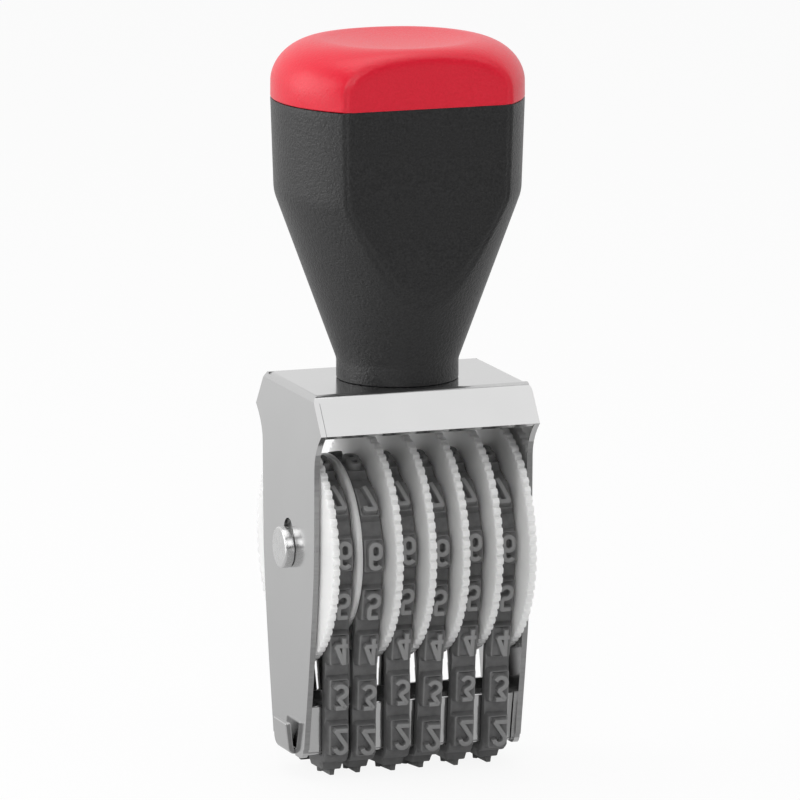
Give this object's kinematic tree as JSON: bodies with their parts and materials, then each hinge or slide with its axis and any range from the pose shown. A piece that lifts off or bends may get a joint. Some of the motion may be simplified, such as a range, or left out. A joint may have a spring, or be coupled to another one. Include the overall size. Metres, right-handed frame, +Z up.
{
  "type": "hand numbering stamp",
  "caption": "Hand numbering stamp: rubber number bands run over toothed thumbwheels and a flat former in a bent steel frame, under a tapered handle with a domed cap.",
  "frame": {"origin": "on the print face, under the middle of the frame", "axes": "+X along the axle from left to right, -Y towards the operator, +Z up along the handle"},
  "size_m": [0.0356, 0.033, 0.1039],
  "materials": {
    "plated_steel": "bright nickel plate, near mirror with faint rolling lines",
    "plated_steel_satin": "nickel plate, satin",
    "turned_steel": "turned and polished",
    "screw_steel": "zinc plated",
    "white_plastic": "moulded, satin gloss",
    "band_rubber": "moulded, matt",
    "black_plastic": "moulded with a fine spark-eroded grain",
    "red_plastic": "moulded with a fine spark-eroded grain"
  },
  "bodies": {
    "stamp_body": {"frame": "plated_steel", "former": "plated_steel_satin", "axle": "turned_steel", "axle_end": "turned_steel", "band_1": "band_rubber", "band_2": "band_rubber", "band_3": "band_rubber", "band_4": "band_rubber", "band_5": "band_rubber", "band_6": "band_rubber", "handle_body": "black_plastic", "handle_cap": "red_plastic", "handle_screw": "screw_steel", "screw_washer": "screw_steel"},
    "wheel_1": {"thumbwheel_1": "white_plastic"},
    "wheel_2": {"thumbwheel_2": "white_plastic"},
    "wheel_3": {"thumbwheel_3": "white_plastic"},
    "wheel_4": {"thumbwheel_4": "white_plastic"},
    "wheel_5": {"thumbwheel_5": "white_plastic"},
    "wheel_6": {"thumbwheel_6": "white_plastic"},
    "divider": {"divider_disc": "white_plastic"}
  },
  "joints": [
    {"name": "wheel_1_spin", "type": "hinge", "parent": "stamp_body", "child": "wheel_1", "pos_m": [0, 0, 0.0325], "axis": [1, 0, 0], "continuous": true},
    {"name": "wheel_2_spin", "type": "hinge", "parent": "stamp_body", "child": "wheel_2", "pos_m": [0, 0, 0.0325], "axis": [1, 0, 0], "continuous": true},
    {"name": "wheel_3_spin", "type": "hinge", "parent": "stamp_body", "child": "wheel_3", "pos_m": [0, 0, 0.0325], "axis": [1, 0, 0], "continuous": true},
    {"name": "wheel_4_spin", "type": "hinge", "parent": "stamp_body", "child": "wheel_4", "pos_m": [0, 0, 0.0325], "axis": [1, 0, 0], "continuous": true},
    {"name": "wheel_5_spin", "type": "hinge", "parent": "stamp_body", "child": "wheel_5", "pos_m": [0, 0, 0.0325], "axis": [1, 0, 0], "continuous": true},
    {"name": "wheel_6_spin", "type": "hinge", "parent": "stamp_body", "child": "wheel_6", "pos_m": [0, 0, 0.0325], "axis": [1, 0, 0], "continuous": true},
    {"name": "divider_spin", "type": "hinge", "parent": "stamp_body", "child": "divider", "pos_m": [0, 0, 0.0325], "axis": [1, 0, 0], "continuous": true}
  ]
}
